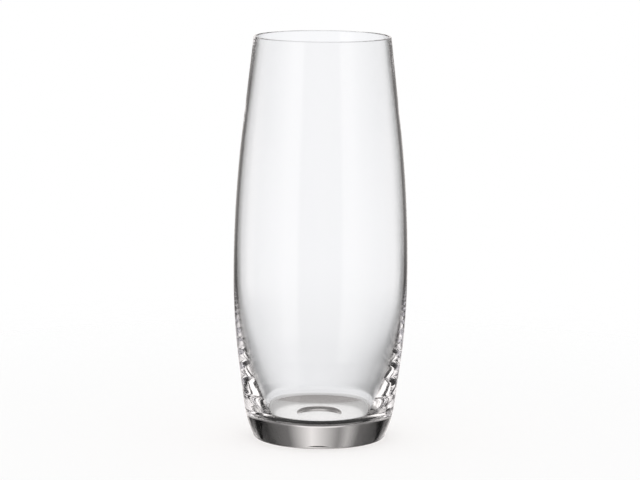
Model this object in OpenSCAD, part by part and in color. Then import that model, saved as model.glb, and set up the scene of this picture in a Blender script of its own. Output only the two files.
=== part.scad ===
// Tall barrel-shaped drinking glass: thin rim, swelling wall, heavy clear base.
// The axis of the glass is Z, and the table it stands on is the plane z = 0.

/* [Overall] */
// Height from the table to the top of the lip
height = 160; // [145:1:175]
// Outside diameter at the widest point of the barrel
belly_d = 69; // [66:0.5:74]
// Height of the widest point above the table
belly_z = 66.5; // [62:0.5:72]
// Outside diameter of the lip
rim_d = 54.2; // [50:0.2:58]
// Diameter of the flat ring that meets the table, at its outer edge
foot_d = 49; // [46:0.5:52]

/* [Outside curves] */
// Radius of the long curve above the belly
upper_curve_r = 502; // [440:1:560]
// Radius of the long curve below the belly
lower_curve_r = 287; // [250:1:330]
// Radius of the heel, where the wall turns in towards the foot
heel_r = 42; // [32:1:52]
// Slope of the heel, from upright, where it meets the rounded foot edge
heel_slope = 25.3; // [22:0.1:30]
// Rounding of the edge between the heel and the flat ring
foot_edge_r = 2; // [1:0.25:3]

/* [Glass thickness] */
// Wall at the lip, which is rounded over from side to side
lip_t = 1; // [0.8:0.1:1.6]
// Wall at the belly
belly_t = 1.2; // [1:0.1:1.8]
// Solid glass under the middle of the bowl, down to the table
base_t = 8.1; // [7:0.1:11]

/* [Inside curves] */
// Radius of the inside curve below the belly, tighter than the outside one
bowl_curve_r = 147; // [138:1:165]
// Rounding between the bowl's wall and its floor
bowl_corner_r = 4.6; // [2:0.2:7]
// Radius of the gently dished floor of the bowl
bowl_floor_r = 110; // [80:1:140]

/* [Underside] */
// Diameter of the shallow hollow inside the flat ring
hollow_d = 20; // [14:0.5:34]
// Depth of the hollow at its middle
hollow_depth = 2.3; // [0.5:0.1:3]

/* [Hidden] */
turn_fn = 180;
// Most that a straight step of an arc may leave the true curve
chord_error = 0.01;

belly_r = belly_d / 2;
foot_r = foot_d / 2;
lip_r = lip_t / 2;
hollow_r = hollow_d / 2;
inner_belly_r = belly_r - belly_t;
inner_curve_r = upper_curve_r - belly_t;
hollow_curve_r = (hollow_r * hollow_r + hollow_depth * hollow_depth) / (2 * hollow_depth);

// Centres of the arcs that make up the outline, as [radius, height]
lip_c = [rim_d / 2 - lip_r, height - lip_r];
upper_c = [belly_r - upper_curve_r, belly_z];
lower_c = [belly_r - lower_curve_r, belly_z];
foot_c = [foot_r, foot_edge_r];
heel_c = foot_c - (heel_r - foot_edge_r) * ray(-heel_slope);
inner_c = [inner_belly_r - inner_curve_r, belly_z];
bowl_c = [inner_belly_r - bowl_curve_r, belly_z];
floor_c = [0, base_t + bowl_floor_r];
corner_c = crossing(bowl_c, bowl_curve_r - bowl_corner_r, floor_c, bowl_floor_r - bowl_corner_r);
hollow_c = [0, hollow_depth - hollow_curve_r];

// Directions, in degrees, at which one arc hands over to the next
upper_end = tangent_direction(upper_c, upper_curve_r, lip_c, lip_r);
lower_end = -tangent_direction(flip(lower_c), lower_curve_r, flip(heel_c), heel_r);
inner_end = tangent_direction(inner_c, inner_curve_r, lip_c, -lip_r);
corner_start = direction(corner_c - bowl_c);
corner_end = direction(corner_c - floor_c);
hollow_end = direction([hollow_r, 0] - hollow_c);

// Unit vector at an angle from the radius direction
function ray(angle) = [cos(angle), sin(angle)];

// Angle of a vector from the radius direction
function direction(v) = atan2(v.y, v.x);

// A point turned upside down
function flip(p) = [p.x, -p.y];

// Direction of the normal of the straight line that touches two circles on their outer side.
// A negative second radius means that the line passes on that circle's inner side.
function tangent_direction(c1, r1, c2, r2) =
    direction(c2 - c1) - acos((r1 - r2) / norm(c2 - c1));

// Crossing point of two circles that is farther from the axis
function crossing(c1, r1, c2, r2) =
    let (span = norm(c2 - c1))
    c1 + r1 * ray(direction(c2 - c1) - acos((span * span + r1 * r1 - r2 * r2) / (2 * span * r1)));

// Points of an arc from one direction to another, close enough to the curve
function arc(centre, radius, from, to) =
    let (steps = ceil(abs(to - from) / (2 * acos(1 - chord_error / radius))))
    [for (i = [0:steps]) centre + radius * ray(from + (to - from) * i / steps)];

// Half section of the glass: up the outside, over the lip, down the inside and along the underside
module half_section() {
    polygon(concat(
        arc(foot_c, foot_edge_r, -90, -heel_slope),
        arc(heel_c, heel_r, -heel_slope, lower_end),
        arc(lower_c, lower_curve_r, lower_end, 0),
        arc(upper_c, upper_curve_r, 0, upper_end),
        arc(lip_c, lip_r, upper_end, 180 + inner_end),
        arc(inner_c, inner_curve_r, inner_end, 0),
        arc(bowl_c, bowl_curve_r, 0, corner_start),
        arc(corner_c, bowl_corner_r, corner_start, corner_end),
        arc(floor_c, bowl_floor_r, corner_end, -90),
        arc(hollow_c, hollow_curve_r, 90, hollow_end)
    ));
}

module glass_body() {
    color([0.86, 0.92, 0.93, 0.35])
        rotate_extrude($fn = turn_fn)
            half_section();
}

glass_body();
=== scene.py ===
# %% [markdown]
# A tall barrel-shaped drinking glass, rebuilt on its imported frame.
# The glass is one piece, so there is one mesh to make. What makes it look real is
# the true thickness of its wall and base, and the light that it bends.
# All sizes are in metres. The glass stands on z = 0, with its axis on Z.

# %% Load the frame
import math
import bpy
import numpy as np
from mathutils import Matrix, Vector


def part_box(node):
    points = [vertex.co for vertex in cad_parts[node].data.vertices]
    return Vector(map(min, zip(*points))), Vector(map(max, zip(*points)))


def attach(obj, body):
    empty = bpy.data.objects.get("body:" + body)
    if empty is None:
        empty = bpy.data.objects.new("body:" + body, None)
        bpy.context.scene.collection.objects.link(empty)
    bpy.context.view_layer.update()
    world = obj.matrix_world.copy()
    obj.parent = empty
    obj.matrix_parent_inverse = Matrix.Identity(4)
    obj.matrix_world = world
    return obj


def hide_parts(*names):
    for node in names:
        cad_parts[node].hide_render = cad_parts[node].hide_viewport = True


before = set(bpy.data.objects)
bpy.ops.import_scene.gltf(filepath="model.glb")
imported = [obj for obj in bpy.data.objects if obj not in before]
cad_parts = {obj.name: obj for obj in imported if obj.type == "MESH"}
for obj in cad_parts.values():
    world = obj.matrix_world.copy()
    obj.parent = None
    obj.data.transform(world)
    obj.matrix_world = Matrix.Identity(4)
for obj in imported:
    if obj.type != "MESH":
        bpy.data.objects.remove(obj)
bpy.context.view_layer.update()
low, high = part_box("glass_body")
MM = 0.001
height = high[2] - low[2]
belly_r = (high[0] - low[0]) / 2
scene = bpy.context.scene
scene.view_settings.view_transform = "Standard"
print("glass", round(height / MM, 1), "mm tall,", round(2 * belly_r / MM, 1), "mm wide")

# %% [markdown]
# The camera comes first, because every later choice is judged through it.
# A long lens from a little over a metre away shows the lip as a thin ellipse.
# The aim is a hair below the middle, and the camera is rolled by half a degree,
# because the real picture leans by that much.

# %% Camera
CAMERA_DISTANCE = 1.2544
CAMERA_ELEVATION = math.radians(8.52)
CAMERA_ROLL = math.radians(0.516)
LENS_MM = 178.3
SENSOR_MM = 36
AIM_OFFSET = Vector((-0.3 * MM, 0, -0.9 * MM))

middle = Vector((0, 0, height / 2))
away = Vector((0, -math.cos(CAMERA_ELEVATION), math.sin(CAMERA_ELEVATION)))
camera_data = bpy.data.cameras.new("camera")
camera_data.lens = LENS_MM
camera_data.sensor_width = SENSOR_MM
camera = bpy.data.objects.new("camera", camera_data)
eye = middle + away * CAMERA_DISTANCE
turn = (middle + AIM_OFFSET - eye).to_track_quat("-Z", "Y").to_matrix().to_4x4()
camera.matrix_world = Matrix.Translation(eye) @ turn @ Matrix.Rotation(CAMERA_ROLL, 4, "Z")
scene.collection.objects.link(camera)
scene.camera = camera
print("camera at", [round(c, 3) for c in eye])

# %% [markdown]
# The world, the floor and the glass are all built from shader nodes. Each node could
# be made and linked by hand, in three lines or more. A few short helpers do it in one,
# so that the lines below read like the sums they stand for.

# %% Helpers that place shader nodes
def put(tree, kind, **settings):
    """Adds one node. Settings name its own properties, such as operation."""
    made = tree.nodes.new(kind)
    for name, value in settings.items():
        setattr(made, name, value)
    return made


def feed(tree, socket, value):
    """Links an output to a socket, or writes a plain value on it."""
    if isinstance(value, bpy.types.NodeSocket):
        tree.links.new(value, socket)
    else:
        socket.default_value = value


def calc(tree, operation, *values):
    """One Math node: the operation on the values given, in order."""
    made = put(tree, "ShaderNodeMath", operation=operation)
    for socket, value in zip(made.inputs, values):
        feed(tree, socket, value)
    return made.outputs[0]


def between(tree, value, start, end):
    """0 at start, 1 at end, and a smooth step from one to the other."""
    made = put(tree, "ShaderNodeMapRange", interpolation_type="SMOOTHSTEP")
    for name, given in (("Value", value), ("From Min", start), ("From Max", end)):
        feed(tree, made.inputs[name], given)
    return made.outputs["Result"]


def blend(tree, amount, first, second, kind="FLOAT"):
    """first where amount is 0, second where it is 1. The kind RGBA blends colours."""
    made = put(tree, "ShaderNodeMix", data_type=kind)
    for name, given in (("Factor", amount), ("A", first), ("B", second)):
        feed(tree, made.inputs[name], given)
    return made.outputs["Result"]


def steps(tree, value, span, stops):
    """A ramp over 0 to span, straight between stops of (place, brightness)."""
    ramp = put(tree, "ShaderNodeValToRGB")
    ramp.color_ramp.interpolation = "LINEAR"
    feed(tree, ramp.inputs[0], calc(tree, "DIVIDE", value, span))
    points = ramp.color_ramp.elements
    while len(points) < len(stops):
        points.new(1.0)
    for point, (place, brightness) in zip(points, stops):
        point.position = place / span
        point.color = (brightness, brightness, brightness, 1)
    return ramp.outputs[0]


def mix_shaders(tree, amount, first, second):
    """The first shader where amount is 0, the second where it is 1."""
    made = put(tree, "ShaderNodeMixShader")
    for socket, given in zip(made.inputs, (amount, first, second)):
        feed(tree, socket, given)
    return made.outputs[0]


print("node helpers ready")

# %% [markdown]
# Clear glass has no colour of its own: it shows what stands around it.
# So the world is a small studio. It could be built from lamps and cards, but drawn by
# direction it adds no shadow of its own. Two numbers name a direction:
# the climb above the horizon, and the way round, which is 0 behind the camera and
# 180 behind the glass. The count of mirrorings tells how the light came through.

# %% World: directions
FULL_TURN = 360.0
DEGREES = 180 / math.pi
FRONT_EDGE = (0.2, -0.3)

world = bpy.data.worlds.new("studio")
scene.world = world
world.use_nodes = True
tree = world.node_tree
tree.nodes.clear()
ray = put(tree, "ShaderNodeLightPath")
mirrors = ray.outputs["Glossy Depth"]
way = put(tree, "ShaderNodeSeparateXYZ")
feed(tree, way.inputs[0], put(tree, "ShaderNodeTexCoord").outputs["Generated"])
x, y, z = way.outputs
azimuth = calc(tree, "MULTIPLY", calc(tree, "ARCTAN2", x, y), DEGREES)
climb = calc(tree, "MULTIPLY", calc(tree, "ARCSINE", z), DEGREES)
way_round = calc(tree, "ADD", azimuth, FULL_TURN / 2)
in_front = between(tree, y, *FRONT_EDGE)
print("direction nodes", len(tree.nodes))

# %% [markdown]
# Pictures of glass are lit from behind, by tall white panels with darker gaps between
# them. The middle of the glass shows a panel, and the edges, which bend the view
# sideways, show the gap as a thin dark line. Here the panels stand in a ring, so that
# the glass has dark edges from every side. The panels are narrower and dimmer low down,
# where the thick lower wall looks, and the pale floor lies in front of them.
# Each list holds stops of (degrees from the middle of a panel, brightness).

# %% World: the ring of panels, seen straight through the glass
HALF_SPACING = 22.5
PANEL_RING = ((0, 1.0), (7.5, 1.0), (10, 0.74), (13, 0.58), (19, 0.28), (22.5, 0.2))
PANEL_FOOT = ((0, 1.0), (3, 0.97), (6, 0.85), (10, 0.6), (13, 0.5), (22.5, 0.3))
PANEL_FOOT_TURN = 2.0
PANEL_LIGHT = 1.02
PANEL_FOOT_LIGHT = 0.96
PANEL_NARROWS = (-22.0, -13.0)
PANEL_DIMS = (-16.0, -8.0)
PANEL_WIDENS = (-10.0, -6.5)
PANEL_WIDER = 0.68
NEAR_FLOOR = (-38.0, -30.0)
NEAR_FLOOR_LIGHT = 0.92

from_panel = calc(tree, "PINGPONG", azimuth, HALF_SPACING)
widening = blend(tree, between(tree, climb, *PANEL_WIDENS), 1.0, PANEL_WIDER)
from_panel = calc(tree, "MULTIPLY", from_panel, widening)
from_foot = calc(tree, "PINGPONG", calc(tree, "ADD", azimuth, PANEL_FOOT_TURN), HALF_SPACING)
upper_ring = steps(tree, from_panel, HALF_SPACING, PANEL_RING)
lower_ring = steps(tree, from_foot, HALF_SPACING, PANEL_FOOT)
ring = blend(tree, between(tree, climb, *PANEL_NARROWS), lower_ring, upper_ring)
ring_light = blend(tree, between(tree, climb, *PANEL_DIMS), PANEL_FOOT_LIGHT, PANEL_LIGHT)
ring = calc(tree, "MULTIPLY", ring, ring_light)
ring = blend(tree, between(tree, climb, *NEAR_FLOOR), NEAR_FLOOR_LIGHT, ring)
print("panels", round(FULL_TURN / (2 * HALF_SPACING)), "in the ring")

# %% [markdown]
# The edges and the base mirror the light inside the glass, and then they look out to
# the sides or up. There the studio is not even: a lamp stands to the left of the
# camera, grey walls at both sides, dark screens beside the panel behind, and streaks of
# light above it. These streaks make the bright stripes in the dark band at the foot.
# The table is dark except before the panel behind. Light that is mirrored many times
# comes from the far room, which is bright in some places and dark in others.
# Each list holds stops of (way round in degrees, brightness).

# %% World: the studio, seen in mirrored light
STUDIO_HIGH = ((0, 0.5), (28, 0.5), (33, 1.0), (48, 1.0), (62, 0.65), (107, 0.65), (110, 0.0), (133, 0.0),
               (155, 0.1), (163, 0.45), (169, 0.25), (184, 0.9), (198, 0.15), (218, 0.0), (250, 0.0),
               (253, 0.65), (300, 0.6), (326, 0.6), (330, 0.5), (360, 0.5))
STUDIO_LOW = ((0, 0.5), (28, 0.5), (33, 1.0), (48, 1.0), (62, 0.7), (88, 0.5), (108, 0.65), (124, 0.6),
              (131, 0.5), (137, 0.15), (142, 0.05), (155, 0.1), (164, 0.3), (171, 1.0), (189, 1.0),
              (196, 0.3), (205, 0.1), (223, 0.05), (230, 0.3), (236, 0.6), (247, 0.65), (258, 0.5),
              (300, 0.6), (326, 0.6), (330, 0.5), (360, 0.5))
TABLE_LOW = ((0, 0.5), (28, 0.5), (33, 1.0), (48, 1.0), (62, 0.5), (80, 0.2), (100, 0.03), (150, 0.03),
             (156, 0.25), (162, 0.7), (168, 0.95), (190, 0.95), (196, 0.5), (201, 0.12), (207, 0.03),
             (260, 0.03), (280, 0.2), (300, 0.5), (312, 0.6), (326, 0.6), (330, 0.5), (360, 0.5))
FAR_ROOM = ((0, 1.5), (22, 1.5), (30, 0.05), (50, 0.05), (60, 1.5), (110, 1.2), (150, 0.05), (225, 0.05),
            (240, 1.5), (258, 1.5), (266, 0.05), (286, 0.05), (294, 1.5), (326, 1.5), (334, 0.05),
            (346, 0.05), (354, 1.5), (360, 1.5))
HORIZON = (1.0, 5.0)
TABLE_EDGE = (-18.0, -11.0)
TABLE_IN_FRONT = (-36.0, -27.0)
TABLE_FAR = (-14.0, -4.0)
HAZE = 0.12
FAR_GLOW = 0.02
MANY_MIRRORS = (1.5, 2.5)

straight = blend(tree, between(tree, climb, *HORIZON), ring, steps(tree, way_round, FULL_TURN, STUDIO_HIGH))
table = steps(tree, way_round, FULL_TURN, TABLE_LOW)
walls = steps(tree, way_round, FULL_TURN, STUDIO_LOW)
once = blend(tree, between(tree, climb, *TABLE_EDGE), table, walls)
front_edge = blend(tree, in_front, 1.0, between(tree, climb, *TABLE_IN_FRONT))
once = calc(tree, "MULTIPLY", once, front_edge)
once = blend(tree, calc(tree, "MULTIPLY", between(tree, climb, *PANEL_WIDENS), HAZE), once, 1.0)
far = calc(tree, "MULTIPLY", steps(tree, way_round, FULL_TURN, FAR_ROOM), between(tree, climb, *TABLE_FAR))
far = calc(tree, "MAXIMUM", far, FAR_GLOW)
many = between(tree, mirrors, *MANY_MIRRORS)
mirrored_once = calc(tree, "MINIMUM", mirrors, 1.0)
around = blend(tree, mirrored_once, straight, blend(tree, many, once, far))
print("studio nodes", len(tree.nodes))

# %% [markdown]
# The walls and panels end above, and over them hangs a lamp that only light from
# steeply above shows. Low light is a little cool and the rest a little warm.
# The camera itself sees plain white, and so does the floor.
# Light runs up and down inside the thick wall many times before it leaves, so the
# limits on the count of bounces are high.

# %% World: overhead, colours and the white background
TOP_BEHIND = (30.0, 18.0)
TOP_IN_FRONT = (44.0, 32.0)
OVERHEAD = (58.0, 66.0)
OVERHEAD_LIGHT = 0.76
OVERHEAD_FAR = (28.0, 40.0)
OVERHEAD_FAR_LIGHT = 0.3
LIGHT_THROUGH_GLASS = 0.95
ROOM_LIGHT = 1.0
WHITE = (1, 1, 1, 1)
COOL_LIGHT = (0.975, 0.982, 1.0, 1)
WARM_LIGHT = (1.0, 0.96, 0.94, 1)
BOUNCES = 512

top = blend(tree, in_front, between(tree, climb, *TOP_BEHIND), between(tree, climb, *TOP_IN_FRONT))
around = calc(tree, "MULTIPLY", around, top)
lamp = calc(tree, "MULTIPLY", between(tree, climb, *OVERHEAD), OVERHEAD_LIGHT)
ceiling = calc(tree, "MULTIPLY", between(tree, climb, *OVERHEAD_FAR), OVERHEAD_FAR_LIGHT)
around = calc(tree, "ADD", around, blend(tree, many, lamp, ceiling))
off_floor = calc(tree, "MINIMUM", ray.outputs["Diffuse Depth"], 1.0)
around = blend(tree, off_floor, around, LIGHT_THROUGH_GLASS)
by_glass = calc(tree, "MAXIMUM", ray.outputs["Is Glossy Ray"], ray.outputs["Is Transmission Ray"])
seen = blend(tree, by_glass, ROOM_LIGHT, around)
seen = blend(tree, ray.outputs["Is Camera Ray"], seen, 1.0)
warmth = calc(tree, "MAXIMUM", between(tree, climb, *HORIZON), mirrored_once)
colour = blend(tree, warmth, COOL_LIGHT, WARM_LIGHT, "RGBA")
backdrop = put(tree, "ShaderNodeBackground")
feed(tree, backdrop.inputs["Color"], blend(tree, by_glass, WHITE, colour, "RGBA"))
feed(tree, backdrop.inputs["Strength"], seen)
tree.links.new(backdrop.outputs[0], put(tree, "ShaderNodeOutputWorld").inputs["Surface"])
scene.cycles.max_bounces = BOUNCES
scene.cycles.transmission_bounces = BOUNCES
scene.cycles.glossy_bounces = BOUNCES
scene.cycles.blur_glossy = 0.0
print("world nodes", len(tree.nodes))

# %% [markdown]
# The floor is a plain pale sheet that fades into the white around it and takes the
# soft shadow of the glass. Seen through the base, the paper under the foot is a painted
# glow that no lamp lights: painted light where light would fall through the bowl, and
# painted shade towards the far side of the foot. In mirrored light the glow is painted
# nearly dark. Beyond the foot, the glass looks past the sheet at the studio.

# %% Floor
FLOOR_HALF = 0.6
FLOOR_DROP = 0.2 * MM
FLOOR_FADE = (0.1, 0.35)
PAPER_COLOUR = (0.98, 0.98, 0.98, 1)
# Seen through the glass, the paper glows: painted light in a disc a little off the axis, painted shade
# around it, and no glow past the foot.
PAPER_GLOW_EDGE = (26 * MM, 28 * MM)
PAINTED_LIGHT_CENTRE = (0, -6 * MM, 0)
PAINTED_LIGHT_EDGE = (22.5 * MM, 19 * MM)
PAINTED_PAPER_SHADE = 0.6
PAPER_GLOW_SEEN = (0.95, 0.02)

floor_mesh = bpy.data.meshes.new("floor")
corners = [(-FLOOR_HALF, -FLOOR_HALF, 0), (FLOOR_HALF, -FLOOR_HALF, 0),
           (FLOOR_HALF, FLOOR_HALF, 0), (-FLOOR_HALF, FLOOR_HALF, 0)]
floor_mesh.from_pydata(corners, [], [(0, 1, 2, 3)])
floor = bpy.data.objects.new("floor", floor_mesh)
floor.location.z = -FLOOR_DROP
scene.collection.objects.link(floor)
pale = bpy.data.materials.new("pale_floor")
pale.use_nodes = True
tree = pale.node_tree
tree.nodes.clear()
place = put(tree, "ShaderNodeTexCoord").outputs["Object"]
from_axis = put(tree, "ShaderNodeVectorMath", operation="LENGTH")
feed(tree, from_axis.inputs[0], place)
from_painted_light = put(tree, "ShaderNodeVectorMath", operation="DISTANCE")
feed(tree, from_painted_light.inputs[0], place)
feed(tree, from_painted_light.inputs[1], PAINTED_LIGHT_CENTRE)
ray = put(tree, "ShaderNodeLightPath")
# Painted light and shade: the paper seen through the glass is bright inside the disc and painted darker
# outside it.
painted_light_on_paper = blend(tree, between(tree, from_painted_light.outputs["Value"], *PAINTED_LIGHT_EDGE), PAINTED_PAPER_SHADE, 1.0)
mirrored_once = calc(tree, "MINIMUM", ray.outputs["Glossy Depth"], 1.0)
# The paper seen through the glass is a painted glow, an Emission that no lamp lights; in mirrored light it
# is painted nearly dark.
painted_paper_glow = put(tree, "ShaderNodeEmission")
feed(tree, painted_paper_glow.inputs["Strength"], calc(tree, "MULTIPLY", painted_light_on_paper, blend(tree, mirrored_once, *PAPER_GLOW_SEEN)))
paper = put(tree, "ShaderNodeBsdfDiffuse")
feed(tree, paper.inputs["Color"], PAPER_COLOUR)
clear = put(tree, "ShaderNodeBsdfTransparent")
by_glass = calc(tree, "MAXIMUM", ray.outputs["Is Glossy Ray"], ray.outputs["Is Transmission Ray"])

fade = between(tree, from_axis.outputs["Value"], *FLOOR_FADE)
beyond_foot = between(tree, from_axis.outputs["Value"], *PAPER_GLOW_EDGE)
in_open = mix_shaders(tree, fade, paper.outputs[0], clear.outputs[0])
through_glass = mix_shaders(tree, beyond_foot, painted_paper_glow.outputs[0], clear.outputs[0])
surface = mix_shaders(tree, by_glass, in_open, through_glass)
tree.links.new(surface, put(tree, "ShaderNodeOutputMaterial").inputs["Surface"])
floor_mesh.materials.append(pale)
print("floor", 2 * FLOOR_HALF, "m across")

# %% [markdown]
# The wall of the glass is drawn as half a section, and the section is turned about
# the axis. Each stretch of the section is an arc that meets the next one without a
# corner, as blown glass does: rounded foot edge, heel, barrel, lip, and back down
# the inside to the dished floor of the bowl and the shallow hollow underneath.

# %% Arcs and where they touch
CURVE_ERROR = 0.001 * MM


def ray_at(angle):
    """Unit vector at an angle, in radians, from the radius direction."""
    return np.array((math.cos(angle), math.sin(angle)))


def direction(v):
    """Angle of a (radius, height) vector from the radius direction."""
    return math.atan2(v[1], v[0])


def touching_line(c1, r1, c2, r2):
    """Direction of the normal of the line that touches two circles on their outer side.
    With n the normal, n.c1 + r1 = n.c2 + r2. A negative r2 takes the second circle's inner side."""
    gap = c2 - c1
    return direction(gap) - math.acos((r1 - r2) / np.linalg.norm(gap))


def outer_crossing(c1, r1, c2, r2):
    """Crossing point of two circles that lies farther from the axis, by the cosine rule."""
    span = np.linalg.norm(c2 - c1)
    corner = math.acos((span ** 2 + r1 ** 2 - r2 ** 2) / (2 * span * r1))
    return c1 + r1 * ray_at(direction(c2 - c1) - corner)


def arc(centre, radius, start, end):
    """Points centre + radius * (cos a, sin a), with a in equal steps from start to end.
    A step of 2 acos(1 - error / radius) keeps each chord within the error of the true arc."""
    step = 2 * math.acos(1 - CURVE_ERROR / radius)
    a = np.linspace(start, end, math.ceil(abs(end - start) / step) + 1)
    return centre + radius * np.stack((np.cos(a), np.sin(a)), axis=1)


print("arcs keep within", CURVE_ERROR / MM, "mm of the true curve")

# %% [markdown]
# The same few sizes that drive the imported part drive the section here, so the two
# shapes agree. The height and the widest radius are read from the frame. The flat
# ring gets a few rings of points, the outer ones close to its edges, because smooth
# shading would otherwise round it off.

# %% Sizes of the section
BELLY_Z = 66.5 * MM
RIM_R = 27.1 * MM
FOOT_R = 24.5 * MM
UPPER_R = 502 * MM
LOWER_R = 287 * MM
HEEL_R = 42 * MM
HEEL_SLOPE = math.radians(25.3)
FOOT_EDGE_R = 2 * MM
LIP_R = 0.5 * MM
BELLY_WALL = 1.2 * MM
BASE_T = 8.1 * MM
BOWL_R = 147 * MM
CORNER_R = 4.6 * MM
BOWL_FLOOR_R = 110 * MM
HOLLOW_R = 10 * MM
HOLLOW_DEPTH = 2.3 * MM
FLAT_MARGIN = 0.15 * MM
FLAT_RINGS = 6


def section():
    """The half section as three lists of (radius, height): outside with the lip, inside, underside."""
    quarter = math.pi / 2
    inner_belly = belly_r - BELLY_WALL
    inner_r = UPPER_R - BELLY_WALL
    hollow_curve = (HOLLOW_R ** 2 + HOLLOW_DEPTH ** 2) / (2 * HOLLOW_DEPTH)
    lip = np.array((RIM_R - LIP_R, height - LIP_R))
    upper = np.array((belly_r - UPPER_R, BELLY_Z))
    lower = np.array((belly_r - LOWER_R, BELLY_Z))
    foot = np.array((FOOT_R, FOOT_EDGE_R))
    heel = foot - (HEEL_R - FOOT_EDGE_R) * ray_at(-HEEL_SLOPE)
    inner = np.array((inner_belly - inner_r, BELLY_Z))
    bowl = np.array((inner_belly - BOWL_R, BELLY_Z))
    dish = np.array((0, BASE_T + BOWL_FLOOR_R))
    corner = outer_crossing(bowl, BOWL_R - CORNER_R, dish, BOWL_FLOOR_R - CORNER_R)
    hollow = np.array((0, HOLLOW_DEPTH - hollow_curve))
    upside_down = np.array((1, -1))
    upper_end = touching_line(upper, UPPER_R, lip, LIP_R)
    lower_end = -touching_line(lower * upside_down, LOWER_R, heel * upside_down, HEEL_R)
    inner_end = touching_line(inner, inner_r, lip, -LIP_R)
    corner_start = direction(corner - bowl)
    corner_end = direction(corner - dish)
    hollow_end = direction(np.array((HOLLOW_R, 0)) - hollow)
    outside = (
        arc(foot, FOOT_EDGE_R, -quarter, -HEEL_SLOPE),
        arc(heel, HEEL_R, -HEEL_SLOPE, lower_end)[1:],
        arc(lower, LOWER_R, lower_end, 0),
        arc(upper, UPPER_R, 0, upper_end)[1:],
        arc(lip, LIP_R, upper_end, math.pi + inner_end),
    )
    inside = (
        arc(inner, inner_r, inner_end, 0),
        arc(bowl, BOWL_R, 0, corner_start)[1:],
        arc(corner, CORNER_R, corner_start, corner_end)[1:],
        arc(dish, BOWL_FLOOR_R, corner_end, -quarter)[1:],
    )
    flat_r = np.linspace(HOLLOW_R + FLAT_MARGIN, FOOT_R - FLAT_MARGIN, FLAT_RINGS)
    underside = (
        arc(hollow, hollow_curve, quarter, hollow_end),
        np.stack((flat_r, np.zeros(FLAT_RINGS)), axis=1),
    )
    return [np.concatenate(part) for part in (outside, inside, underside)]


outside, inside, underside = section()
print("section points", len(outside), len(inside), len(underside))

# %% [markdown]
# The section is turned in equal steps. A Screw modifier could do that too, but worked
# out as arrays, the two ends on the axis are single points. So the surface is closed,
# and light can tell the inside of the glass from the air.

# %% The glass as one closed surface
TURN_STEPS = 288


def turned(rings):
    """Turns a section about Z: each ring (r, z) becomes the points (r cos t, r sin t, z).
    The first and last rings are single points on the axis, closed by triangles."""
    turn = np.arange(TURN_STEPS) * (2 * math.pi / TURN_STEPS)
    r = rings[1:-1, :1]
    z = np.broadcast_to(rings[1:-1, 1:], (len(r), TURN_STEPS))
    grid = np.stack((r * np.cos(turn), r * np.sin(turn), z), axis=2).reshape(-1, 3)
    poles = [(0, 0, rings[0, 1]), (0, 0, rings[-1, 1])]
    step = np.arange(TURN_STEPS)
    after = (step + 1) % TURN_STEPS
    start = np.arange(len(r) - 1)[:, None] * TURN_STEPS
    above = start + TURN_STEPS
    quads = np.stack((start + step, start + after, above + after, above + step), axis=2)
    first = np.full(TURN_STEPS, len(grid))
    top = (len(r) - 1) * TURN_STEPS
    caps = np.concatenate((np.stack((first, after, step), axis=1),
                           np.stack((first + 1, top + step, top + after), axis=1)))
    return np.concatenate((grid, poles)), quads.reshape(-1, 4), caps


points, quads, caps = turned(np.concatenate((underside, outside, inside)))
mesh = bpy.data.meshes.new("glass")
mesh.from_pydata(points.tolist(), [], quads.tolist() + caps.tolist())
mesh.shade_smooth()
glass = bpy.data.objects.new("clear_tumbler", mesh)
scene.collection.objects.link(glass)
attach(glass, "root")
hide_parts("glass_body")
print("glass triangles", 2 * len(quads) + len(caps))

# %% [markdown]
# Soda-lime glass bends light by an index of about 1.52 and is almost colourless.
# Through a long way of glass, as in the base, a trace of grey shows, so the colour
# sits in the volume and not on the surface. A plain Glass shader would be too perfect:
# a blown surface is never quite even, so it gets very shallow waves, and the ring that
# slides over tables has fine scuffs, which are small changes of roughness.

# %% Clear glass
GLASS_IOR = 1.52
GLASS_TINT = (0.9, 0.9, 0.92, 1)
TINT_DENSITY = 5.0
WAVES_PER_METRE = 60.0
WAVE_DEPTH = 0.01 * MM
SCUFFS_PER_METRE = 900.0
SCUFF_EDGE = (0.35 * MM, 0.05 * MM)
SCUFF_SPREAD = (0.45, 0.7)
SCUFF_ROUGHNESS = 0.12

clear_glass = bpy.data.materials.new("clear_glass")
clear_glass.use_nodes = True
tree = clear_glass.node_tree
shader = tree.nodes["Principled BSDF"]
place = put(tree, "ShaderNodeTexCoord").outputs["Object"]
waves = put(tree, "ShaderNodeTexNoise")
feed(tree, waves.inputs["Vector"], place)
feed(tree, waves.inputs["Scale"], WAVES_PER_METRE)
bump = put(tree, "ShaderNodeBump")
feed(tree, bump.inputs["Distance"], WAVE_DEPTH)
feed(tree, bump.inputs["Height"], waves.outputs["Fac"])
scuffs = put(tree, "ShaderNodeTexNoise")
feed(tree, scuffs.inputs["Vector"], place)
feed(tree, scuffs.inputs["Scale"], SCUFFS_PER_METRE)
above_table = put(tree, "ShaderNodeSeparateXYZ")
feed(tree, above_table.inputs[0], place)
on_ring = between(tree, above_table.outputs["Z"], *SCUFF_EDGE)
scuffed = calc(tree, "MULTIPLY", on_ring, between(tree, scuffs.outputs["Fac"], *SCUFF_SPREAD))
feed(tree, shader.inputs["Base Color"], WHITE)
feed(tree, shader.inputs["Roughness"], calc(tree, "MULTIPLY", scuffed, SCUFF_ROUGHNESS))
feed(tree, shader.inputs["IOR"], GLASS_IOR)
feed(tree, shader.inputs["Transmission Weight"], 1.0)
feed(tree, shader.inputs["Normal"], bump.outputs["Normal"])
tint = put(tree, "ShaderNodeVolumeAbsorption")
feed(tree, tint.inputs["Color"], GLASS_TINT)
feed(tree, tint.inputs["Density"], TINT_DENSITY)
tree.links.new(tint.outputs[0], tree.nodes["Material Output"].inputs["Volume"])
mesh.materials.append(clear_glass)
print("material", clear_glass.name, "with", len(tree.nodes), "nodes")
